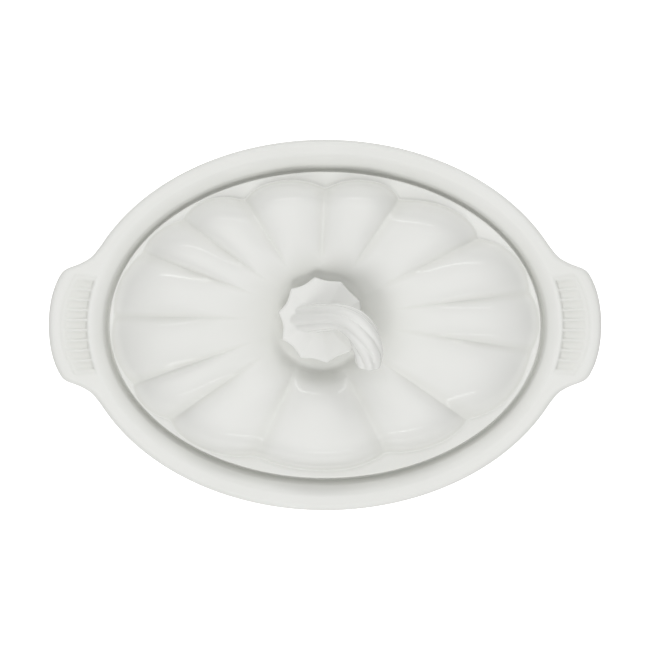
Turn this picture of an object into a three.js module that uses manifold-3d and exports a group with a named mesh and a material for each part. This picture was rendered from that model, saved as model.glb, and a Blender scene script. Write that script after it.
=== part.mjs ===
// Oval covered casserole in glazed stoneware, in millimetres, +Z up.
// Origin: centre of the footprint, on the surface the dish stands on. X runs along the lugs.
//
// Three solids: the dish, the lobed lid, and the stem knob that is luted to the lid's crown.

import * as THREE from 'three';
import { mergeVertices } from 'three/addons/utils/BufferGeometryUtils.js';
import Module from 'manifold-3d';

const wasm = await Module();
wasm.setup();

// ---- driving dimensions ----
const OVERALL_LENGTH = 340;     // lug to lug
const RIM_WIDTH = 228;          // across the rim, front to back
const STRETCH = 38.5;           // half of what the oval is longer than it is wide
const RIM_HEIGHT = 76;          // top of the rim
const LEDGE_HEIGHT = 64;        // seat the lid rests on
const FOOT_HEIGHT = 3;          // foot ring
const FLOOR_TOP = 9.5;          // inside floor of the dish
const LUG_TOP = 75.4;
const LUG_UNDERSIDE = 66;
const LID_WIDTH = 189;          // across the lid's edge, front to back
const LID_SEAT_GAP = 0.3;       // between the lid and its ledge
const FLANGE_THICKNESS = 5.8;   // lid's flat margin
const LOBE_RISE = 21.5;         // crest of the lobes above the flange
const VALLEY_SHARE = 0.28;      // how much lower a valley is than its lobe's crest
const WALL = 6.5;               // lid's shell
const MOAT_RADIUS = 28;         // ring-shaped hollow round the knob
const MOAT_SHARE = 0.38;        // its floor, as a share of the lobe rise
const KNOB_GAP = 0.3;           // between the knob and the crown
const COLLAR_RADIUS = 26.5;     // tips of the knob's scalloped collar

const RIM_RADIUS = RIM_WIDTH / 2;
const LID_RADIUS = LID_WIDTH / 2;
const FLANGE_BOTTOM = LEDGE_HEIGHT + LID_SEAT_GAP;
const FLANGE_TOP = FLANGE_BOTTOM + FLANGE_THICKNESS;
const MOAT_HEIGHT = FLANGE_TOP + MOAT_SHARE * LOBE_RISE;
const CROWN = new THREE.Vector2(-2.5, 3);   // the knob's centre, a little off the lid's
const DISH_STEPS = 56;          // steps round the dish
const LOBE_STEPS = 6;           // steps across each lobe of the lid

// Each lobe starts at a valley: its angle round the oval in degrees, how far out the valley
// reaches and how far out the lobe reaches, as shares of the lid's edge.
const LOBES = [
  { from: 12.5, valley: 0.97, tip: 0.99 }, { from: 38.5, valley: 0.905, tip: 0.95 },
  { from: 67.2, valley: 0.885, tip: 0.957 }, { from: 90, valley: 0.89, tip: 0.957 },
  { from: 114.5, valley: 0.895, tip: 0.98 }, { from: 133.9, valley: 0.95, tip: 0.985 },
  { from: 150.7, valley: 0.965, tip: 0.99 }, { from: 176.9, valley: 0.975, tip: 0.99 },
  { from: 203.6, valley: 0.965, tip: 0.99 }, { from: 220.8, valley: 0.945, tip: 0.985 },
  { from: 249.6, valley: 0.91, tip: 0.945 }, { from: 288.7, valley: 0.875, tip: 0.93 },
  { from: 316.7, valley: 0.9, tip: 0.975 }, { from: 350.3, valley: 0.97, tip: 0.99 },
];

// ---- solids ----
function toManifold(geometry) {
  const bare = geometry.clone();
  bare.deleteAttribute('normal');
  bare.deleteAttribute('uv');
  const merged = mergeVertices(bare, 1e-4);
  const index = merged.getIndex().array;
  const faces = [];
  for (let i = 0; i < index.length; i += 3) {
    const [a, b, c] = [index[i], index[i + 1], index[i + 2]];
    if (a !== b && b !== c && c !== a) faces.push(a, b, c);
  }
  return new wasm.Manifold(new wasm.Mesh({
    numProp: 3,
    vertProperties: new Float32Array(merged.getAttribute('position').array),
    triVerts: new Uint32Array(faces),
  }));
}

function toGeometry(manifold) {
  const mesh = manifold.getMesh();
  const geometry = new THREE.BufferGeometry();
  geometry.setAttribute('position', new THREE.BufferAttribute(mesh.vertProperties, 3));
  geometry.setIndex(new THREE.BufferAttribute(mesh.triVerts, 1));
  geometry.computeVertexNormals();
  return geometry;
}

// A section turned about Z in the given number of steps, then every vertex put where
// place(radius, step, height) says. The last step closes onto the first.
function turned(section, steps, place) {
  const geometry = new THREE.LatheGeometry(section, steps);
  const points = geometry.getAttribute('position');
  for (let step = 0; step <= steps; step += 1) {
    section.forEach((point, row) => {
      const placed = place(point.x, step % steps, point.y);
      points.setXYZ(step * section.length + row, placed.x, placed.y, placed.z);
    });
  }
  return geometry;
}

// The oval: a circle drawn out along X, by the full stretch from OVAL_START outwards.
const OVAL_START = 60;
function oval(radius, angle, height) {
  const reach = radius + STRETCH * Math.min(1, radius / OVAL_START);
  return new THREE.Vector3(reach * Math.cos(angle), radius * Math.sin(angle), height);
}

function crownPoint(radius, angle, height) {
  return new THREE.Vector3(
    CROWN.x + radius * Math.cos(angle), CROWN.y + radius * Math.sin(angle), height);
}

// ---- dish ----
function dishSection() {
  const path = new THREE.Path();
  path.moveTo(0, FOOT_HEIGHT);
  path.lineTo(60, FOOT_HEIGHT);
  path.lineTo(61, 0);
  path.lineTo(68, 0);
  path.lineTo(70, FOOT_HEIGHT);
  path.quadraticCurveTo(89, 5, 93.5, 27);                                  // heel
  path.quadraticCurveTo(97, 42, 98, 56);                                   // wall
  path.quadraticCurveTo(98.5, 62, 106, 64.5);                              // cove under the rim
  path.quadraticCurveTo(RIM_RADIUS, 67.5, RIM_RADIUS, 72);
  path.quadraticCurveTo(RIM_RADIUS, RIM_HEIGHT, RIM_RADIUS - 4, RIM_HEIGHT);
  path.lineTo(105.5, 75.3);                                                // lip
  path.quadraticCurveTo(101.6, 74.2, 98.6, 69.6);                          // inner slope
  path.quadraticCurveTo(96.6, LEDGE_HEIGHT, 95.4, LEDGE_HEIGHT);
  path.lineTo(88.5, LEDGE_HEIGHT);                                         // ledge
  path.quadraticCurveTo(87, LEDGE_HEIGHT, 87, LEDGE_HEIGHT - 2);
  path.quadraticCurveTo(87, 40, 83, 25);
  path.quadraticCurveTo(78, FLOOR_TOP + 0.5, 58, FLOOR_TOP);
  path.lineTo(0, FLOOR_TOP);
  return path.getPoints(3);
}

// One end lug's outline, as a shape that reaches back into the rim.
function lugShape() {
  const shape = new THREE.Shape();
  const half = OVERALL_LENGTH / 2;
  const innerLength = 146;
  const innerWidth = 107;
  const innerAngle = Math.asin(58 / innerWidth);
  shape.moveTo(innerLength * Math.cos(innerAngle), -58);
  shape.lineTo(127.5, -62.4);
  shape.lineTo(137.5, -50.1);
  shape.quadraticCurveTo(143.5, -40.3, 151, -37.7);
  shape.quadraticCurveTo(159.5, -35.2, 163.8, -28.9);
  shape.quadraticCurveTo(half, -18, half, 0);
  shape.quadraticCurveTo(half, 18, 163.8, 28.9);
  shape.quadraticCurveTo(159.5, 35.2, 151, 37.7);
  shape.quadraticCurveTo(143.5, 40.3, 137.5, 50.1);
  shape.lineTo(127.5, 62.4);
  shape.lineTo(innerLength * Math.cos(innerAngle), 58);
  shape.absellipse(0, 0, innerLength, innerWidth, innerAngle, -innerAngle, true);
  return shape;
}

function lug(side) {
  const geometry = new THREE.ExtrudeGeometry(lugShape(), {
    depth: LUG_TOP - LUG_UNDERSIDE - 4, curveSegments: 4,
    bevelEnabled: true, bevelThickness: 2, bevelSize: 2, bevelOffset: -2, bevelSegments: 2,
  });
  geometry.translate(0, 0, LUG_UNDERSIDE + 2);
  if (side < 0) geometry.rotateZ(Math.PI);
  return toManifold(geometry);
}

// A row of sunk cells on a lug's top, with thin ribs left standing between them.
const CELL_COUNT = 9;
const CELL_PITCH = 6.1;
const CELL_WIDTH = 4.8;
const CELL_DEPTH = 1.2;
function lugCells(side) {
  const inner = 146.2;
  const outer = 160;
  const cuts = [];
  for (let cell = 0; cell < CELL_COUNT; cell += 1) {
    const slot = new THREE.BoxGeometry(outer - inner, CELL_WIDTH, 4);
    const across = (cell - (CELL_COUNT - 1) / 2) * CELL_PITCH;
    const back = 0.0065 * across * across;   // the row follows the rim's curve
    slot.translate(
      side * ((inner + outer) / 2 - back), across, LUG_TOP - CELL_DEPTH + 2);
    cuts.push(toManifold(slot));
  }
  return cuts;
}

function makeDish() {
  const step = 2 * Math.PI / DISH_STEPS;
  let solid = toManifold(turned(
    dishSection(), DISH_STEPS, (radius, i, height) => oval(radius, i * step, height)));
  for (const side of [1, -1]) {
    solid = solid.add(lug(side));
    for (const cut of lugCells(side)) solid = solid.subtract(cut);
  }
  return toGeometry(solid);
}

// ---- lid ----
function smoothStep(low, high, value) {
  const s = Math.min(1, Math.max(0, (value - low) / (high - low)));
  return s * s * (3 - 2 * s);
}

// Depth across a lobe: 0 on its crest, 1 in the valley, round at both.
const VALLEY_BEND = 0.15;
function roundedValley(across) {
  const side = Math.abs(across) ** 2.3;
  const top = Math.hypot(1, VALLEY_BEND);
  return (top - Math.hypot(1 - side, VALLEY_BEND)) / (top - VALLEY_BEND);
}

// One step round the lid: its angle, its depth between crest and valley, and how far out the
// lobe's foot lies there. Crests lean off the middle of their lobes, towards the lid's ends.
const LEAN = 0.22;
function lobeStep(step) {
  const lobe = LOBES[Math.floor(step / LOBE_STEPS)];
  const next = LOBES[(Math.floor(step / LOBE_STEPS) + 1) % LOBES.length];
  const span = (next.from - lobe.from + 360) % 360;
  const along = (step % LOBE_STEPS) / LOBE_STEPS;
  const across = 2 * along - 1;
  const lean = -LEAN * Math.sin(2 * THREE.MathUtils.degToRad(lobe.from + span / 2));
  const depth = roundedValley(across - lean * (1 - across * across));
  const valley = lobe.valley * (1 - along) + next.valley * along;
  const reach = lobe.tip + (valley - lobe.tip) * depth;
  return { angle: THREE.MathUtils.degToRad(lobe.from + span * along), depth, reach };
}

// Height of a lobe's crest line, from the moat (0) to its foot (1), as a share of the rise.
// The moat lies deeper in front of the knob than beside it.
const CREST_AT_ENDS = 0.46;
const CREST_AT_FRONT = 0.64;
function crestLine(along, heading) {
  const frontward = Math.sin(heading) ** 2;
  const crest = CREST_AT_ENDS + (CREST_AT_FRONT - CREST_AT_ENDS) * frontward;
  if (along < crest) {
    const beforeKnob = Math.max(0, -Math.sin(heading)) ** 2;
    const start = 0.05 * beforeKnob;
    const share = Math.max(0, along - start) / (crest - start);
    const climb = 1 - (1 - share) ** (2 + 1.3 * beforeKnob);
    const moat = MOAT_SHARE + 0.06 * Math.cos(heading) ** 2 - 0.3 * beforeKnob;
    return moat + (1 - moat) * climb;
  }
  return 1 - ((along - crest) / (1 - crest)) ** (2.8 + 0.6 * frontward);
}

// A point of the lobed shell. The inside follows the outside, a wall's thickness away.
function lobedPoint(along, step, inside) {
  const { angle, depth, reach } = lobeStep(step);
  const foot = reach - (inside ? 0.09 : 0);
  const moat = MOAT_RADIUS + (inside ? 6 : 0);
  const edge = oval(LID_RADIUS, angle, 0);
  const heading = Math.atan2(edge.y, edge.x);
  const x0 = CROWN.x + moat * Math.cos(heading);
  const y0 = CROWN.y + moat * Math.sin(heading);
  const endwise = Math.cos(heading) ** 2;        // valleys fade sooner at the ends
  const fade = smoothStep(0.12 * endwise, 0.42 + 0.36 * endwise, along);
  const beforeKnob = Math.max(0, -Math.sin(heading)) ** 5;
  const nose = smoothStep(0, 0.14, along) * (1 - smoothStep(0.1, 0.7, along));
  const sink = (VALLEY_SHARE * fade + 0.5 * beforeKnob * nose) * depth;
  const rise = LOBE_RISE * crestLine(along, heading) * (1 - sink);
  const height = FLANGE_TOP + rise - (inside ? WALL : 0);
  return new THREE.Vector3(
    x0 + along * (foot * edge.x - x0), y0 + along * (foot * edge.y - y0), height);
}

// Rows of the lid's closed section. The lathe's first coordinate picks the row's rule.
function lidRows() {
  const rows = [];
  const disc = (radius, height) => rows.push(
    (step) => crownPoint(radius, lobeStep(step).angle, height));
  const ring = (radius, height) => rows.push(
    (step) => oval(radius, lobeStep(step).angle, height));
  const lobed = (along, inside) => rows.push((step) => lobedPoint(along, step, inside));
  disc(0, MOAT_HEIGHT - WALL);
  [0, 0.06, 0.14, 0.28, 0.48, 0.68, 0.84, 0.94, 1].forEach((along) => lobed(along, true));
  ring(80, FLANGE_BOTTOM - 6);                    // locating skirt, inside the ledge
  ring(84.5, FLANGE_BOTTOM - 6);
  ring(85, FLANGE_BOTTOM);
  ring(LID_RADIUS - 1.5, FLANGE_BOTTOM);
  ring(LID_RADIUS, FLANGE_BOTTOM + 1.5);
  ring(LID_RADIUS, FLANGE_TOP - 1.8);
  ring(LID_RADIUS - 1.5, FLANGE_TOP);
  [1, 0.96, 0.9, 0.82, 0.72, 0.6, 0.48, 0.36, 0.25, 0.17, 0.11, 0.06, 0.03, 0].forEach(
    (along) => lobed(along, false));
  disc(14, MOAT_HEIGHT);
  disc(0, MOAT_HEIGHT);
  return rows;
}

function makeLid() {
  const rows = lidRows();
  const last = rows.length - 1;
  // A closed section starts and ends on the axis; the rules below then place its rows.
  const section = rows.map((rule, i) => new THREE.Vector2(i === 0 || i === last ? 0 : 1, i));
  return toGeometry(toManifold(turned(
    section, LOBES.length * LOBE_STEPS, (radius, step, row) => rows[row](step))));
}

// ---- stem knob ----
const NECK_HEIGHT = 7.1;
const NECK_STEPS = 24;
const COLLAR_THICKNESS = 3.6;
const COLLAR_TOP = MOAT_HEIGHT + KNOB_GAP + NECK_HEIGHT + COLLAR_THICKNESS;

function collarGeometry() {
  const shape = new THREE.Shape();
  const tips = 10;
  const turn = (part) => 2 * Math.PI * part / tips;
  const at = (radius, part) => [radius * Math.cos(turn(part)), radius * Math.sin(turn(part))];
  shape.moveTo(...at(COLLAR_RADIUS, 0));
  for (let tip = 0; tip < tips; tip += 1) {
    shape.quadraticCurveTo(...at(COLLAR_RADIUS - 4.8, tip + 0.5), ...at(COLLAR_RADIUS, tip + 1));
  }
  const geometry = new THREE.ExtrudeGeometry(shape, {
    depth: COLLAR_THICKNESS, curveSegments: 4, bevelEnabled: false,
  });
  geometry.translate(CROWN.x, CROWN.y, COLLAR_TOP - COLLAR_THICKNESS);
  return geometry;
}

function neckGeometry() {
  const bottom = MOAT_HEIGHT + KNOB_GAP;
  const section = [
    new THREE.Vector2(0, bottom), new THREE.Vector2(12, bottom),
    new THREE.Vector2(14, COLLAR_TOP - 2), new THREE.Vector2(0, COLLAR_TOP - 2),
  ];
  return turned(section, NECK_STEPS, (radius, step, height) => crownPoint(
    radius, 2 * Math.PI * step / NECK_STEPS, height));
}

// The stem springs from the collar's left, arches over and hooks towards the front. Each
// point has the height over the collar and the stem's half width there.
const STEM_ROUTE = [
  [-11.5, 3.9, -4, 9.6], [-5.5, 4.2, 3, 8.9], [0.5, 4.5, 10.5, 8.5], [6.5, 4.8, 17, 8.4],
  [13, 3.4, 21.8, 8.7], [18.8, -0.4, 24.4, 9.3], [23.2, -6.4, 24.4, 9.5],
  [25.6, -13, 22.4, 9.2], [26.2, -19, 19.8, 8.7], [25.8, -24.2, 17.2, 8],
];

function ribbedCircle(radius, ribs) {
  const points = [];
  const steps = ribs * 4;
  for (let i = 0; i < steps; i += 1) {
    const angle = 2 * Math.PI * i / steps;
    const r = radius * (1 - 0.045 * (1 - Math.cos(ribs * angle)));
    points.push(new THREE.Vector2(r * Math.cos(angle), r * Math.sin(angle)));
  }
  return new THREE.Shape(points);
}

// A straight ribbed bar, bent along the route and made thick or thin on the way.
function stemGeometry() {
  const geometry = new THREE.ExtrudeGeometry(ribbedCircle(1, 7), {
    depth: 1, steps: 18, bevelEnabled: false,
  });
  const route = new THREE.CatmullRomCurve3(
    STEM_ROUTE.map(([x, y, z]) => new THREE.Vector3(x, y, COLLAR_TOP + z)));
  const widths = new THREE.CatmullRomCurve3(
    STEM_ROUTE.map(([, , , half]) => new THREE.Vector3(half, 0, 0)));
  const points = geometry.getAttribute('position');
  for (let i = 0; i < points.count; i += 1) {
    const along = Math.min(1, Math.max(0, points.getZ(i)));
    const centre = route.getPoint(along);
    const ahead = route.getTangent(along);
    const half = widths.getPoint(along).x;
    const side = new THREE.Vector3(-ahead.y, ahead.x, 0).normalize();
    const up = new THREE.Vector3().crossVectors(ahead, side).normalize();
    centre.addScaledVector(side, points.getX(i) * half);
    centre.addScaledVector(up, points.getY(i) * half);
    points.setXYZ(i, centre.x, centre.y, centre.z);
  }
  return geometry;
}

function makeStemKnob() {
  const solid = toManifold(neckGeometry())
    .add(toManifold(collarGeometry()))
    .add(toManifold(stemGeometry()));
  return toGeometry(solid);
}

// ---- assembly ----
function piece(name, geometry, color, roughness) {
  const material = new THREE.MeshStandardMaterial({ color, roughness, metalness: 0 });
  const mesh = new THREE.Mesh(geometry, material);
  mesh.name = name;
  return mesh;
}

const casserole = new THREE.Group();
casserole.add(piece('dish', makeDish(), 0xe9e9e6, 0.16));
casserole.add(piece('lid', makeLid(), 0xe8e8e5, 0.15));
casserole.add(piece('stem_knob', makeStemKnob(), 0xe8e8e4, 0.15));

export default casserole;
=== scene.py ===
"""Oval covered casserole in white glazed stoneware: fine meshes, glazes, studio and camera."""

import functools
import math

import bmesh
import bpy
from mathutils import Matrix, Vector


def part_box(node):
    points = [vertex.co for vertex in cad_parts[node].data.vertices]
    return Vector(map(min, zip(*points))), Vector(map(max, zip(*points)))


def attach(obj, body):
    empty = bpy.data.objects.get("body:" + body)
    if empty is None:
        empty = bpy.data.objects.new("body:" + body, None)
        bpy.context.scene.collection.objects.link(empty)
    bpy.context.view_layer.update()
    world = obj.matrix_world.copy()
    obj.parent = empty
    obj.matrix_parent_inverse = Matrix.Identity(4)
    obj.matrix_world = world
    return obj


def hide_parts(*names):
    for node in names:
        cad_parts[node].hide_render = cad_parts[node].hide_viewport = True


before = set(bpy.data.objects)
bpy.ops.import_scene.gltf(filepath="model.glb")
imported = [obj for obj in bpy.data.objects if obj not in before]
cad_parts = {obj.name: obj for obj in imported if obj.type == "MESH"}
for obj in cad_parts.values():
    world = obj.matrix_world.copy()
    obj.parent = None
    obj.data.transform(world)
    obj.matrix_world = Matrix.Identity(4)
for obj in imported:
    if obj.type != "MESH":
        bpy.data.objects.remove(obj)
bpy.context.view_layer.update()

# ---- sizes, in millimetres, in the frame's own axes ----
MM = 0.001
dish_low, dish_high = (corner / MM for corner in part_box("dish"))
lid_low, lid_high = (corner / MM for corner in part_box("lid"))

LUG_TIP = dish_high.x                   # half the length, lug to lug
RIM_RADIUS = dish_high.y                # half the width across the rim
RIM_TOP = dish_high.z
STRETCH = 38.5                          # half of what the oval is longer than it is wide
OVAL_START = 60.0                       # the full stretch is reached this far out
LEDGE = RIM_TOP - 12.0                  # seat for the lid
FLOOR_TOP = 9.5
FOOT_HEIGHT = 3.0

LID_SET = Vector(((lid_low.x + lid_high.x) / 2, (lid_low.y + lid_high.y) / 2))
LID_RADIUS = (lid_high.y - lid_low.y) / 2
FLANGE_BOTTOM = lid_low.z + 6.0
FLANGE_TOP = FLANGE_BOTTOM + 5.8
LOBE_RISE = 21.5
VALLEY_SHARE = 0.28                     # how much lower a valley is than its lobe's crest
MOAT_RADIUS = 28.0
MOAT_SHARE = 0.38                       # the moat's floor, as a share of the lobes' rise
MOAT_HEIGHT = FLANGE_TOP + MOAT_SHARE * LOBE_RISE
LID_WALL = 6.5
CREST_AT = (0.46, 0.64)                 # where the lobes of the ends, and of the front and
                                        # back, are highest, from the moat to their foot
CROWN = LID_SET + Vector((-2.5, 3.0))   # centre of the knob's collar

# Valleys between the lobes: angle round the oval, and how far out each valley and the lobe
# after it reach, as shares of the lid's edge.
LOBES = (
    (12.5, 0.970, 0.990), (38.5, 0.905, 0.950), (67.2, 0.885, 0.957), (90.0, 0.890, 0.957),
    (114.5, 0.895, 0.980), (133.9, 0.950, 0.985), (150.7, 0.965, 0.990),
    (176.9, 0.975, 0.990), (203.6, 0.965, 0.990), (220.8, 0.945, 0.985),
    (249.6, 0.910, 0.945), (288.7, 0.875, 0.930), (316.7, 0.900, 0.975),
    (350.3, 0.970, 0.990),
)
SKEW = 0.22                             # how far each crest leans off its lobe's middle
FOOT_FILLET = 1.8
CREASE_DEPTH = 0.55                     # fine groove round the lobes' feet
LOBE_STEPS = 36                         # mesh steps across each lobe
DISH_STEPS = 600
VIEW_SHARE = 1.173                      # width of the view, in lengths of the casserole
CAMERA_HEIGHT = 1.6                     # over the rim, in metres

# ---- colours, linear ----
THIN_GLAZE = (0.855, 0.858, 0.832)
THICK_GLAZE = (0.838, 0.842, 0.812)
# darker tone for the pooling share: partly glaze pooled in hollows, partly painted shade in
# creases and recesses
POOLED_AND_SHADED_GLAZE = (0.755, 0.760, 0.715)
GRAIN_GLAZE = (0.80, 0.80, 0.77)
BISQUE = (0.62, 0.575, 0.50)
BISQUE_DARK = (0.48, 0.43, 0.36)


# ---- small helpers ----
def smooth_step(low, high, value):
    share = min(1.0, max(0.0, (value - low) / (high - low)))
    return share * share * (3.0 - 2.0 * share)


def mix(a, b, share):
    return a + (b - a) * share


def smooth_through(points, at):
    """Height of a smooth curve through (place, height) points, at one place."""
    if at <= points[0][0]:
        return points[0][1]
    for i in range(len(points) - 1):
        (x0, y0), (x1, y1) = points[i], points[i + 1]
        if at <= x1:
            before = points[max(0, i - 1)]
            after = points[min(len(points) - 1, i + 2)]
            span = x1 - x0
            slope0 = (y1 - before[1]) / (x1 - before[0]) if i else 0.0
            slope1 = (after[1] - y0) / (after[0] - x0) if after[0] > x1 else 0.0
            t = (at - x0) / span
            return (
                y0 * (1 + 2 * t) * (1 - t) ** 2
                + slope0 * span * t * (1 - t) ** 2
                + y1 * t * t * (3 - 2 * t)
                + slope1 * span * t * t * (t - 1)
            )
    return points[-1][1]


def oval(radius, angle):
    """A circle's point drawn out along X into the casserole's oval."""
    reach = radius + STRETCH * min(1.0, radius / OVAL_START)
    return Vector((reach * math.cos(angle), radius * math.sin(angle)))


def turn_section(rows, steps, place, pooling_and_shade=None):
    """Spins a section of row points, then puts each vertex where place(row, step) says."""
    bm = bmesh.new()
    # per-vertex share that darkens the glaze: pooled glaze plus painted shade in the recesses
    pool_and_shade_of = bm.verts.layers.float.new("pooling_and_shade")
    row_of = bm.verts.layers.int.new("row")
    chain = []
    last = len(rows) - 1
    for i in range(len(rows)):
        vert = bm.verts.new((0.0 if i in (0, last) else 1.0, 0.0, float(i)))
        vert[row_of] = i
        chain.append(vert)
    edges = [bm.edges.new(pair) for pair in zip(chain, chain[1:])]
    bmesh.ops.spin(
        bm, geom=chain + edges, cent=(0, 0, 0), axis=(0, 0, 1), dvec=(0, 0, 0),
        angle=2 * math.pi, steps=steps, use_merge=True,
    )
    for vert in bm.verts:
        around = math.atan2(vert.co.y, vert.co.x) / (2 * math.pi)
        step = round(around * steps) % steps
        row = rows[vert[row_of]]
        vert.co = place(row, step) * MM
        if pooling_and_shade:
            vert[pool_and_shade_of] = pooling_and_shade(row, step)
    bm.verts.layers.int.remove(row_of)
    bmesh.ops.remove_doubles(bm, verts=bm.verts, dist=1e-6)
    return bm


def finish_piece(bm, name, body, node, material):
    """Writes a bmesh out as a smooth piece that stands for its CAD node."""
    bmesh.ops.recalc_face_normals(bm, faces=bm.faces)
    for face in bm.faces:
        face.smooth = True
    mesh = bpy.data.meshes.new(name)
    bm.to_mesh(mesh)
    bm.free()
    piece = bpy.data.objects.new(name, mesh)
    bpy.context.scene.collection.objects.link(piece)
    mesh.materials.append(material)
    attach(piece, body)
    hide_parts(node)
    return piece


def curve_to(rows, control, end, steps):
    """Adds a quadratic curve from the last row to end, pulled towards control."""
    start = rows[-1]
    for i in range(1, steps + 1):
        t = i / steps
        rows.append(tuple(
            a * (1 - t) ** 2 + 2 * b * t * (1 - t) + c * t * t
            for a, b, c in zip(start, control, end)
        ))


def line_to(rows, end, steps):
    start = rows[-1]
    for i in range(1, steps + 1):
        rows.append(tuple(mix(a, b, i / steps) for a, b in zip(start, end)))


# ---- dish ----
# How far a lug stands out beyond the rim, by the angle round the oval in degrees.
LUG_REACH = LUG_TIP - RIM_RADIUS - STRETCH
LUG_OUTLINE = (
    (0.0, LUG_REACH), (7.8, LUG_REACH - 0.4), (12.9, LUG_REACH - 1.9),
    (15.5, LUG_REACH - 4.1), (18.2, 6.5), (20.9, 2.0), (23.5, 0.5), (26.5, 0.0),
)
LIP_INNER = 105.5                       # inner shoulder of the lip
PANEL_START = 107.6                     # the lug's sunk cells start here
CELL_COUNT = 9
CELL_PITCH = 6.1
RIB_SHARE = 0.20                        # a rib's share of the pitch


@functools.lru_cache(maxsize=None)
def lug_reach(angle):
    degrees = abs(math.degrees(angle)) % 180.0
    return smooth_through(LUG_OUTLINE, min(degrees, 180.0 - degrees))


def dish_rows():
    """The dish's section as (radius, height, share of the lug's reach) rows."""
    rim = RIM_RADIUS
    rows = [(0.0, FOOT_HEIGHT, 0.0)]
    line_to(rows, (59.0, FOOT_HEIGHT, 0.0), 5)
    curve_to(rows, (60.2, FOOT_HEIGHT, 0.0), (60.7, 1.2, 0.0), 3)
    curve_to(rows, (61.0, 0.0, 0.0), (62.2, 0.0, 0.0), 3)
    line_to(rows, (67.2, 0.0, 0.0), 3)
    curve_to(rows, (68.6, 0.0, 0.0), (69.0, 1.2, 0.0), 3)
    curve_to(rows, (69.4, FOOT_HEIGHT - 0.2, 0.0), (72.5, FOOT_HEIGHT + 0.5, 0.0), 4)
    curve_to(rows, (89.5, 6.5, 0.0), (93.5, 27.0, 0.0), 14)
    curve_to(rows, (97.0, 42.0, 0.0), (97.8, 55.5, 0.0), 9)
    curve_to(rows, (98.2, 62.2, 0.25), (105.0, 64.6, 0.6), 9)
    curve_to(rows, (rim, 67.2, 1.0), (rim, 71.8, 1.0), 9)
    curve_to(rows, (rim, RIM_TOP, 1.0), (rim - 3.8, RIM_TOP, 0.93), 8)
    line_to(rows, (LIP_INNER, RIM_TOP - 0.6, 0.0), 34)
    curve_to(rows, (101.6, RIM_TOP - 1.8, 0.0), (98.6, 69.6, 0.0), 10)
    curve_to(rows, (96.6, LEDGE + 0.4, 0.0), (95.4, LEDGE, 0.0), 8)
    line_to(rows, (89.0, LEDGE, 0.0), 3)
    curve_to(rows, (87.2, LEDGE, 0.0), (87.0, LEDGE - 2.2, 0.0), 5)
    curve_to(rows, (87.0, 40.0, 0.0), (83.0, 25.0, 0.0), 9)
    curve_to(rows, (78.5, FLOOR_TOP + 0.4, 0.0), (58.0, FLOOR_TOP, 0.0), 12)
    line_to(rows, (0.0, FLOOR_TOP, 0.0), 6)
    return rows


def lug_relief(out, across):
    """Depth of the lug's sunk cells at a point out from the lip and across the lug."""
    cell_end = 14.3 - 0.004 * across * across
    fan = across / (1.0 + 0.004 * max(0.0, out))
    from_middle = fan / CELL_PITCH + CELL_COUNT / 2
    in_row = 0.0 < from_middle < CELL_COUNT
    beside = abs(from_middle % 1.0 - 0.5) if in_row else 1.0
    ends = smooth_step(0.0, 1.0, out) * (1.0 - smooth_step(cell_end - 1.2, cell_end, out))
    cell = ends * (1.0 - smooth_step(0.5 - RIB_SHARE, 0.5 - RIB_SHARE / 4, beside))
    slope = max(0.0, 1.0 - out / cell_end)
    half_panel = CELL_PITCH * CELL_COUNT / 2 + 1.6
    sides = 1.0 - smooth_step(half_panel, half_panel + 1.2, abs(fan))
    panel = sides * (1.0 - smooth_step(cell_end + 1.6, cell_end + 2.8, out))
    panel *= smooth_step(-1.0, 0.4, out)
    return 0.55 * panel + cell * (0.35 + 1.5 * slope ** 1.3)


def make_dish(material):
    rows = dish_rows()

    def place(row, step):
        radius, height, lug_share = row
        even = 2 * math.pi * step / DISH_STEPS
        angle = even - 0.35 * math.sin(2 * even)        # finer steps at the lugs
        reach = lug_share * lug_reach(angle)
        point = oval(radius, angle)
        point += Vector((math.cos(angle), math.sin(angle))) * reach
        if height > LEDGE + 9.0 and lug_share > 0.0 and lug_reach(angle) > 0.1:
            out = radius + reach - PANEL_START
            height -= lug_relief(out, point.y)
        return Vector((point.x, point.y, height))

    def pooling_and_shade(row, step):
        """Glaze gathers in the lid's seat, the lug's cells and low on the inside; the darker tone
        there is partly this pooled glaze and partly painted shade in these recesses.
        """
        radius, height, lug_share = row
        if abs(height - LEDGE) < 3.0 and radius < 100.0:
            return 0.8
        if LEDGE + 9.0 < height and lug_share > 0.0:
            return min(1.0, (height - place(row, step).z) / 1.2)
        return 0.3 if height < 15.0 and radius < 95.0 else 0.0

    bm = turn_section(rows, DISH_STEPS, place, pooling_and_shade)
    return finish_piece(bm, "dish_body", "dish", "dish", material)


# ---- lid ----
def rounded_valley(across):
    """0 on a lobe's crest and 1 in the valley, round at both."""
    side = abs(across) ** 2.3
    bend = 0.11
    top = math.sqrt(1.0 + bend * bend)
    return (top - math.sqrt((1.0 - side) ** 2 + bend * bend)) / (top - bend)


@functools.lru_cache(maxsize=None)
def lobe_step(step):
    """Angle, valley depth and reach of the foot, at one mesh step round the lid."""
    index, part = divmod(step, LOBE_STEPS)
    start, valley, tip = LOBES[index]
    end, next_valley, _ = LOBES[(index + 1) % len(LOBES)]
    across = -math.cos(math.pi * part / LOBE_STEPS)     # finer steps at the valleys
    along = (across + 1) / 2
    angle = math.radians(start + (end - start) % 360 * along)
    middle = math.radians(start + (end - start) % 360 / 2)
    lean = -SKEW * math.sin(2 * middle)                 # crests lean towards the ends
    depth = rounded_valley(across - lean * (1 - across * across))
    floor = mix(valley, next_valley, along)
    return angle, depth, mix(tip, floor, depth)


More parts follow.
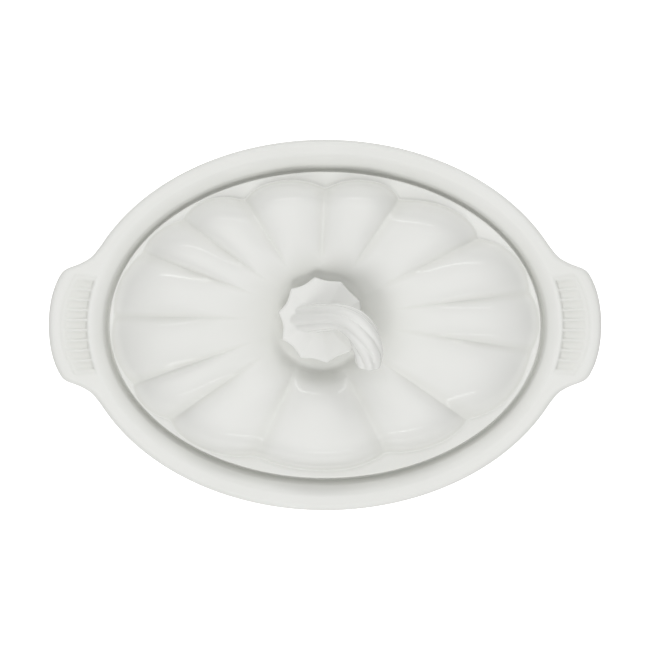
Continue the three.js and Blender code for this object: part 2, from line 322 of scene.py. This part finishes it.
def crest_line(along, heading):
    """A lobe's height over the flange from the moat (0) to its foot (1), as a share."""
    crest = mix(*CREST_AT, math.sin(heading) ** 2)
    if along < crest:
        before_knob = max(0.0, -math.sin(heading)) ** 2
        start = 0.05 * before_knob
        share = max(0.0, along - start) / (crest - start)
        climb = 1 - (1 - share) ** (2.0 + 1.3 * before_knob)
        moat = MOAT_SHARE + 0.06 * math.cos(heading) ** 2 - 0.30 * before_knob
        return mix(moat, 1.0, climb)
    return 1 - ((along - crest) / (1 - crest)) ** mix(2.8, 3.4, math.sin(heading) ** 2)


def smooth_max(a, b, width):
    near = max(0.0, 1.0 - abs(a - b) / width)
    return max(a, b) + near * near * width / 4


def lobed_point(along, step, inside, past=0.0):
    """A point on the lobes, or past their foot by a share of the flange there."""
    angle, depth, reach = lobe_step(step)
    foot = reach - (0.09 if inside else 0.0)
    moat = MOAT_RADIUS + (6.0 if inside else 0.0)
    edge = oval(LID_RADIUS, angle)
    heading = math.atan2(edge.y, edge.x)
    start = CROWN - LID_SET + Vector((math.cos(heading), math.sin(heading))) * moat
    end = edge * foot
    point = start.lerp(end, along)
    if past:
        border = oval(LID_RADIUS - 1.4, angle)
        point = end.lerp(border, past)
        along = 1.0 + past * (border - end).length / (end - start).length
    endwise = math.cos(heading) ** 2                    # valleys fade sooner at the ends
    sink = VALLEY_SHARE * smooth_step(0.12 * endwise, 0.42 + 0.36 * endwise, along)
    before_knob = max(0.0, -math.sin(heading)) ** 5
    sink += 0.50 * before_knob * smooth_step(0.0, 0.14, along) * (1 - smooth_step(0.1, 0.7, along))
    sink *= depth
    rise = LOBE_RISE * crest_line(along, heading) * (1.0 - sink)
    if not inside:
        rise = smooth_max(rise, 0.0, FOOT_FILLET) if past < 1.0 else 0.0
        beyond = past * (border - end).length if past else (along - 1.0) * (end - start).length
        rise -= CREASE_DEPTH * math.exp(-((beyond - 0.9) / 0.8) ** 2) * (1.0 - past)
    point += LID_SET
    return Vector((point.x, point.y, FLANGE_TOP + rise - (LID_WALL if inside else 0.0)))


def disc_point(radius, height, step):
    angle = lobe_step(step)[0]
    return Vector((
        CROWN.x + radius * math.cos(angle), CROWN.y + radius * math.sin(angle), height))


def ring_point(radius, height, step):
    point = LID_SET + oval(radius, lobe_step(step)[0])
    return Vector((point.x, point.y, height))


def lid_rows():
    """Rows of the lid's section: which rule places a row, and the rule's numbers."""
    edge = LID_RADIUS
    rows = [("disc", 0.0, MOAT_HEIGHT - LID_WALL), ("disc", 18.0, MOAT_HEIGHT - LID_WALL)]
    rows += [("inner", math.sin(math.pi / 2 * i / 28)) for i in range(29)]
    rings = [(80.2, FLANGE_BOTTOM - 4.5)]
    curve_to(rings, (80.2, FLANGE_BOTTOM - 6.0), (81.6, FLANGE_BOTTOM - 6.0), 3)
    line_to(rings, (83.4, FLANGE_BOTTOM - 6.0), 2)
    curve_to(rings, (84.6, FLANGE_BOTTOM - 6.0), (84.8, FLANGE_BOTTOM - 4.6), 3)
    curve_to(rings, (85.0, FLANGE_BOTTOM), (87.0, FLANGE_BOTTOM), 5)
    line_to(rings, (edge - 2.0, FLANGE_BOTTOM), 3)
    curve_to(rings, (edge, FLANGE_BOTTOM), (edge, FLANGE_BOTTOM + 2.0), 5)
    line_to(rings, (edge, FLANGE_TOP - 1.6), 2)
    curve_to(rings, (edge, FLANGE_TOP), (edge - 1.4, FLANGE_TOP), 6)
    rows += [("ring", radius, height) for radius, height in rings]
    rows += [("flange", share) for share in (0.8, 0.6, 0.45, 0.34, 0.25, 0.17, 0.1, 0.05)]
    rows += [("outer", math.sin(math.pi / 2 * i / 62)) for i in range(62, -1, -1)]
    rows += [("disc", 20.0, MOAT_HEIGHT), ("disc", 0.0, MOAT_HEIGHT)]
    return rows


def make_lid(material):
    def place(row, step):
        rule, *numbers = row
        if rule == "disc":
            return disc_point(*numbers, step)
        if rule == "ring":
            return ring_point(*numbers, step)
        if rule == "flange":
            return lobed_point(1.0, step, False, past=numbers[0])
        return lobed_point(numbers[0], step, rule == "inner")

    def pooling_and_shade(row, step):
        """Glaze runs off the crests and gathers in the valleys, the moat and the feet; the darker
        tone there is partly this pooled glaze and partly painted shade in these hollows.
        """
        if row[0] == "disc":
            return 0.8
        if row[0] != "outer":
            return 0.2
        depth = lobe_step(step)[1]
        valley = smooth_step(0.5, 1.0, depth) * smooth_step(0.0, 0.3, row[1])
        moat = 1.0 - smooth_step(0.0, 0.35, row[1])
        foot = smooth_step(0.97, 1.0, row[1])
        return min(1.0, 0.8 * max(valley, moat) + foot)

    bm = turn_section(lid_rows(), len(LOBES) * LOBE_STEPS, place, pooling_and_shade)
    return finish_piece(bm, "lid_shell", "lid", "lid", material)


# ---- stem knob ----
COLLAR_TIPS = 10
COLLAR_TURN = math.radians(26.0)        # first tip of the collar
COLLAR_RADIUS = 26.5
COLLAR_TOP = MOAT_HEIGHT + 11.0
COLLAR_STEPS = 240
NECK_RADIUS = 12.0

# The stem's middle line from the collar over the arch to its tip, with its half width.
STEM_ROUTE = (
    (-17.0, 3.6, -10.0, 10.2), (-11.5, 3.9, -4.0, 9.6), (-5.5, 4.2, 3.0, 8.9),
    (0.5, 4.5, 10.5, 8.4), (6.5, 4.8, 17.0, 8.2), (13.0, 3.4, 21.8, 8.5),
    (18.8, -0.4, 24.2, 9.1), (23.2, -6.4, 24.2, 9.3), (25.6, -13.0, 22.4, 9.1),
    (26.2, -19.0, 19.8, 8.6), (25.8, -24.0, 17.2, 7.9),
)
STEM_STEPS = 110
STEM_RIBS = 7
GROOVE_DEPTH = 0.15                     # of the stem's half width
SKIN_VOXEL = 0.45


def scallop_tip(angle):
    """1 at the tips of the collar's scallops and 0 midway between them."""
    return 1.0 - abs(math.sin(COLLAR_TIPS / 2 * (angle - COLLAR_TURN)))


def collar_radius(angle, outer):
    cut = 2.3 - 0.7 * math.cos(angle)                   # deepest at the left
    return outer - cut * (1.0 - scallop_tip(angle)) * outer / COLLAR_RADIUS


def make_collar():
    outer = COLLAR_RADIUS
    rows = [(0.0, MOAT_HEIGHT + 0.3, 0.0)]
    line_to(rows, (NECK_RADIUS, MOAT_HEIGHT + 0.3, 0.0), 3)
    curve_to(rows, (NECK_RADIUS + 0.5, COLLAR_TOP - 5.0, 0.2), (19.0, COLLAR_TOP - 4.2, 0.6), 6)
    line_to(rows, (outer - 1.2, COLLAR_TOP - 4.0, 1.0), 5)
    curve_to(rows, (outer, COLLAR_TOP - 3.8, 1.0), (outer, COLLAR_TOP - 2.4, 1.0), 4)
    curve_to(rows, (outer, COLLAR_TOP - 1.0, 1.0), (outer - 1.5, COLLAR_TOP - 0.8, 1.0), 4)
    curve_to(rows, (18.0, COLLAR_TOP + 0.2, 0.8), (11.0, COLLAR_TOP + 1.6, 0.3), 10)
    line_to(rows, (0.0, COLLAR_TOP + 2.5, 0.0), 4)

    def place(row, step):
        radius, height, scallop = row
        angle = 2 * math.pi * step / COLLAR_STEPS
        reach = mix(radius, collar_radius(angle, radius), scallop)
        if height > COLLAR_TOP - 1.5:
            height += 0.6 * scallop * (scallop_tip(angle) - 0.5)
        return Vector((
            CROWN.x + reach * math.cos(angle), CROWN.y + reach * math.sin(angle), height))

    return turn_section(rows, COLLAR_STEPS, place)


def stem_line(share):
    """Middle point and half width of the stem at a share of its route."""
    along = share * (len(STEM_ROUTE) - 1)
    columns = [[(i, p[axis]) for i, p in enumerate(STEM_ROUTE)] for axis in range(4)]
    x, y, z, half = (smooth_through(column, along) for column in columns)
    return Vector((LID_SET.x + x, LID_SET.y + y, COLLAR_TOP + z)), half


def stem_frame(share):
    """The turn of the stem's ring, its middle and its half width at a share of the route."""
    centre, half = stem_line(share)
    ahead = stem_line(min(1.0, share + 0.01))[0] - stem_line(max(0.0, share - 0.01))[0]
    ahead.normalize()
    side = Vector((0.25, 1.0, 0.0)).cross(ahead).normalized()
    side = ahead.cross(side)
    up = ahead.cross(side)
    return Matrix((side, up, ahead)).transposed(), centre, half


def make_stem():
    """A ribbed circle drawn along the route, ring by ring, and closed at both ends."""
    bm = bmesh.new()
    made = bmesh.ops.create_circle(
        bm, cap_ends=True, radius=1.0, segments=STEM_RIBS * 16)
    ribbed = {}
    for vert in made["verts"]:
        around = math.atan2(vert.co.y, vert.co.x)
        groove = (1.0 - abs(math.cos(STEM_RIBS * around / 2))) ** 1.5
        ribbed[vert] = vert.co * (1.0 - GROOVE_DEPTH * groove)
    face = next(iter(bm.faces))
    order = list(face.verts)
    flat = [ribbed[vert] for vert in order]
    turn, centre, half = stem_frame(0.0)
    for vert, spot in zip(order, flat):
        vert.co = (centre + turn @ (spot * half)) * MM
    for step in range(1, STEM_STEPS + 1):
        share = step / STEM_STEPS
        before = {tuple(vert.co): spot for vert, spot in zip(order, flat)}
        made = bmesh.ops.extrude_face_region(bm, geom=[face])
        if step > 1:
            bmesh.ops.delete(bm, geom=[face], context="FACES_ONLY")
        face = next(item for item in made["geom"] if isinstance(item, bmesh.types.BMFace))
        order = list(face.verts)
        flat = [before[tuple(vert.co)] for vert in order]
        turn, centre, half = stem_frame(share)
        half *= 1.0 - 0.10 * smooth_step(0.97, 1.0, share)
        for vert, spot in zip(order, flat):
            vert.co = (centre + turn @ (spot * half)) * MM
    return bm


def make_knob(material):
    """Collar and stem melted into one skin."""
    both = make_collar()
    stem = bpy.data.meshes.new("stem")
    bm = make_stem()
    bmesh.ops.recalc_face_normals(bm, faces=bm.faces)
    bm.to_mesh(stem)
    bm.free()
    bmesh.ops.recalc_face_normals(both, faces=both.faces)
    both.from_mesh(stem)
    bpy.data.meshes.remove(stem)
    rough = bpy.data.meshes.new("knob_parts")
    both.to_mesh(rough)
    both.free()
    parts = bpy.data.objects.new("knob_parts", rough)
    bpy.context.scene.collection.objects.link(parts)
    melt = parts.modifiers.new("melt", "REMESH")
    melt.mode = "VOXEL"
    melt.voxel_size = SKIN_VOXEL * MM
    smooth = parts.modifiers.new("soften", "SMOOTH")
    smooth.iterations = 3
    skin = bpy.data.meshes.new_from_object(
        parts.evaluated_get(bpy.context.evaluated_depsgraph_get()))
    bpy.data.objects.remove(parts)
    bpy.data.meshes.remove(rough)
    bm = bmesh.new()
    bm.from_mesh(skin)
    bpy.data.meshes.remove(skin)
    return finish_piece(bm, "stem_knob_skin", "lid", "stem_knob", material)


# ---- glazes ----
def material_named(name):
    material = bpy.data.materials.new(name)
    material.use_nodes = True
    return material, material.node_tree, material.node_tree.nodes["Principled BSDF"]


def node(tree, kind, **settings):
    made = tree.nodes.new(kind)
    for key, value in settings.items():
        setattr(made, key, value)
    return made


def set_inputs(made, **values):
    for key, value in values.items():
        made.inputs[key.replace("_", " ")].default_value = value


def ramp(tree, source, low, high):
    """Maps a value from low..high to 0..1."""
    made = node(tree, "ShaderNodeMapRange")
    set_inputs(made, From_Min=low, From_Max=high)
    tree.links.new(source, made.inputs["Value"])
    return made.outputs["Result"]


def mixed_colour(tree, share, first, second):
    """Colour between two; first and second are colours or sockets, share a socket."""
    made = node(tree, "ShaderNodeMix", data_type="RGBA")
    tree.links.new(share, made.inputs[0])
    for socket, value in ((made.inputs[6], first), (made.inputs[7], second)):
        if isinstance(value, tuple):
            socket.default_value = (*value, 1.0)
        else:
            tree.links.new(value, socket)
    return made.outputs[2]


def mixed_value(tree, share, first, second):
    made = node(tree, "ShaderNodeMapRange")
    tree.links.new(share, made.inputs["Value"])
    set_inputs(made, To_Min=first, To_Max=second)
    return made.outputs["Result"]


def math_node(tree, operation, first, second):
    made = node(tree, "ShaderNodeMath", operation=operation)
    for socket, value in zip(made.inputs, (first, second)):
        if isinstance(value, float):
            socket.default_value = value
        else:
            tree.links.new(value, socket)
    return made.outputs[0]


def noise(tree, place, scale, detail, rough=0.5):
    made = node(tree, "ShaderNodeTexNoise")
    set_inputs(made, Scale=scale, Detail=detail, Roughness=rough)
    tree.links.new(place, made.inputs["Vector"])
    return made.outputs["Fac"]


def glaze_group():
    """Cloudy tone, pinholes and fine ripple of a thick white glaze, darkened by the pooling share,
    which is partly pooled glaze and partly painted shade.
    """
    group = bpy.data.node_groups.new("cloudy_white_glaze", "ShaderNodeTree")
    group.interface.new_socket("Pooling_and_shade", in_out="INPUT", socket_type="NodeSocketFloat")
    for name, kind in (("Color", "NodeSocketColor"), ("Roughness", "NodeSocketFloat"),
                       ("Height", "NodeSocketFloat")):
        group.interface.new_socket(name, in_out="OUTPUT", socket_type=kind)
    taken = node(group, "NodeGroupInput")
    given = node(group, "NodeGroupOutput")
    place = node(group, "ShaderNodeTexCoord").outputs["Object"]

    clouds = ramp(group, noise(group, place, 14.0, 3.0), 0.35, 0.65)
    grain = ramp(group, noise(group, place, 160.0, 4.0, 0.6), 0.4, 0.7)
    tone = mixed_colour(group, clouds, THIN_GLAZE, THICK_GLAZE)
    specks = node(group, "ShaderNodeTexVoronoi", feature="F1")
    set_inputs(specks, Scale=260.0)
    group.links.new(place, specks.inputs["Vector"])
    size = ramp(group, noise(group, place, 55.0, 2.0), 0.62, 0.80)
    reach = math_node(group, "MULTIPLY", size, 0.11)
    pinhole = math_node(group, "LESS_THAN", specks.outputs["Distance"], reach)
    # painted shade: the pooling share darkens valleys, moat, seat and cells, partly as pooled
    # glaze and partly as shade
    pooled_and_shaded = math_node(group, "MULTIPLY", taken.outputs["Pooling_and_shade"], 0.55)
    tone = mixed_colour(group, pooled_and_shaded, tone, POOLED_AND_SHADED_GLAZE)
    mottle = math_node(group, "MULTIPLY", grain, 0.05)
    tone = mixed_colour(group, mottle, tone, GRAIN_GLAZE)
    faint = math_node(group, "MULTIPLY", pinhole, 0.25)
    tone = mixed_colour(group, faint, tone, BISQUE)
    group.links.new(tone, given.inputs["Color"])

    group.links.new(mixed_value(group, grain, 0.085, 0.15), given.inputs["Roughness"])
    ripple = noise(group, place, 95.0, 2.0)
    wave = noise(group, place, 28.0, 1.0)
    height = math_node(group, "ADD", ripple, math_node(group, "MULTIPLY", wave, 1.4))
    height = math_node(group, "SUBTRACT", height, math_node(group, "MULTIPLY", pinhole, 0.5))
    group.links.new(height, given.inputs["Height"])
    return group


def foot_group():
    """Mask of the bare clay where the glaze was wiped off the foot, with a wavy edge."""
    group = bpy.data.node_groups.new("wiped_foot", "ShaderNodeTree")
    group.interface.new_socket("Mask", in_out="OUTPUT", socket_type="NodeSocketFloat")
    given = node(group, "NodeGroupOutput")
    place = node(group, "ShaderNodeTexCoord").outputs["Object"]
    split = node(group, "ShaderNodeSeparateXYZ")
    group.links.new(place, split.inputs[0])
    waver = math_node(group, "MULTIPLY", noise(group, place, 60.0, 2.0), 1.6 * MM)
    level = math_node(group, "ADD", split.outputs["Z"], waver)
    group.links.new(ramp(group, level, 2.0 * MM, 1.7 * MM), given.inputs["Mask"])
    return group


def use_group(tree, group):
    made = node(tree, "ShaderNodeGroup")
    made.node_tree = group
    return made


def glazed(name, group, tint, foot=None):
    material, tree, shader = material_named(name)
    glaze = use_group(tree, group)
    # per-vertex share of pooled glaze and painted shade, read from the mesh
    pooling_and_shade = node(tree, "ShaderNodeAttribute", attribute_name="pooling_and_shade")
    tree.links.new(pooling_and_shade.outputs["Fac"], glaze.inputs["Pooling_and_shade"])
    tinted = node(tree, "ShaderNodeMix", data_type="RGBA", blend_type="MULTIPLY")
    tinted.inputs[0].default_value = 1.0
    tinted.inputs[7].default_value = (*tint, 1.0)
    tree.links.new(glaze.outputs["Color"], tinted.inputs[6])
    colour, rough = tinted.outputs[2], glaze.outputs["Roughness"]
    bump = node(tree, "ShaderNodeBump")
    set_inputs(bump, Strength=0.35, Distance=0.10 * MM)
    tree.links.new(glaze.outputs["Height"], bump.inputs["Height"])
    if foot:
        bare = use_group(tree, foot).outputs["Mask"]
        place = node(tree, "ShaderNodeTexCoord").outputs["Object"]
        sand = ramp(tree, noise(tree, place, 900.0, 5.0, 0.7), 0.3, 0.7)
        clay = mixed_colour(tree, sand, BISQUE, BISQUE_DARK)
        colour = mixed_colour(tree, bare, colour, clay)
        blend = node(tree, "ShaderNodeMix", data_type="FLOAT")
        tree.links.new(bare, blend.inputs[0])
        tree.links.new(rough, blend.inputs[2])
        blend.inputs[3].default_value = 0.85
        rough = blend.outputs[0]
    tree.links.new(colour, shader.inputs["Base Color"])
    tree.links.new(rough, shader.inputs["Roughness"])
    tree.links.new(bump.outputs["Normal"], shader.inputs["Normal"])
    shader.inputs["IOR"].default_value = 1.5
    return material


# ---- studio ----
def make_floor():
    bm = bmesh.new()
    bmesh.ops.create_grid(bm, x_segments=1, y_segments=1, size=6.0)
    mesh = bpy.data.meshes.new("studio_floor")
    bm.to_mesh(mesh)
    bm.free()
    floor = bpy.data.objects.new("studio_floor", mesh)
    floor.location.z = -0.0005
    bpy.context.scene.collection.objects.link(floor)
    material, tree, shader = material_named("pale_floor")
    shader.inputs["Base Color"].default_value = (0.80, 0.80, 0.79, 1.0)
    shader.inputs["Roughness"].default_value = 0.9
    glow = tree.nodes.new("ShaderNodeEmission")
    glow.inputs["Strength"].default_value = 0.75
    seen = tree.nodes.new("ShaderNodeLightPath")
    lit = tree.nodes.new("ShaderNodeAddShader")
    pick = tree.nodes.new("ShaderNodeMixShader")
    output = tree.nodes["Material Output"]
    tree.links.new(shader.outputs[0], lit.inputs[0])
    tree.links.new(glow.outputs[0], lit.inputs[1])
    tree.links.new(seen.outputs["Is Camera Ray"], pick.inputs[0])
    tree.links.new(shader.outputs[0], pick.inputs[1])
    tree.links.new(lit.outputs[0], pick.inputs[2])
    tree.links.new(pick.outputs[0], output.inputs["Surface"])
    mesh.materials.append(material)


def softbox(name, place, target, width, height, power, mirrored=True):
    light = bpy.data.lights.new(name, "AREA")
    light.shape = "RECTANGLE"
    light.size, light.size_y = width, height
    light.energy = power
    lamp = bpy.data.objects.new(name, light)
    lamp.location = place
    aim = Vector(target) - Vector(place)
    lamp.rotation_euler = aim.to_track_quat("-Z", "Y").to_euler()
    lamp.visible_camera = False
    lamp.visible_glossy = mirrored
    bpy.context.scene.collection.objects.link(lamp)


def light_studio():
    middle = (0.0, 0.0, RIM_TOP * MM)
    softbox("back_strip", (0.0, 1.35, 0.85), middle, 1.7, 0.07, 1.6)
    softbox("front_strip", (0.2, -1.4, 0.75), middle, 1.2, 0.06, 1.0)
    softbox("back_fill", (0.0, 1.4, 0.7), middle, 1.8, 0.6, 4.4, mirrored=False)
    softbox("key", (-0.15, -1.0, 1.3), middle, 0.6, 0.6, 5.4, mirrored=False)
    world = bpy.data.worlds.new("studio_air")
    world.use_nodes = True
    tree = world.node_tree
    split = node(tree, "ShaderNodeSeparateXYZ")
    tree.links.new(node(tree, "ShaderNodeTexCoord").outputs["Generated"], split.inputs[0])
    up = math_node(tree, "MAXIMUM", split.outputs["Z"], 0.0)
    overhead = math_node(tree, "MULTIPLY", math_node(tree, "POWER", up, 1.5), 0.84)
    back = math_node(tree, "MULTIPLY", math_node(tree, "MAXIMUM", split.outputs["Y"], 0.0), 0.30)
    ahead = math_node(tree, "MULTIPLY", math_node(tree, "MINIMUM", split.outputs["Y"], 0.0), -0.36)
    around = math_node(tree, "ADD", back, ahead)
    glow = math_node(tree, "ADD", math_node(tree, "ADD", overhead, around), 0.05)
    sky = tree.nodes["Background"]
    sky.inputs["Color"].default_value = (1, 1, 1, 1)
    tree.links.new(glow, sky.inputs["Strength"])
    bpy.context.scene.world = world
    bpy.context.scene.view_settings.view_transform = "Standard"


def place_camera():
    """Straight above the dish, far enough off for little perspective."""
    seen_length = VIEW_SHARE * 2 * LUG_TIP * MM
    camera = bpy.data.cameras.new("camera")
    camera.sensor_width = 36.0
    camera.lens = camera.sensor_width * CAMERA_HEIGHT / seen_length
    body = bpy.data.objects.new("camera", camera)
    body.location = (0.0, 0.0, RIM_TOP * MM + CAMERA_HEIGHT)
    bpy.context.scene.collection.objects.link(body)
    bpy.context.scene.camera = body


# ---- assembly ----
white = glaze_group()
make_dish(glazed("dish_glaze", white, (1.0, 1.0, 1.0), foot=foot_group()))
make_lid(glazed("lid_glaze", white, (1.0, 1.0, 1.0)))
make_knob(glazed("knob_glaze", white, (1.0, 1.0, 1.0)))
place_camera()
light_studio()
make_floor()
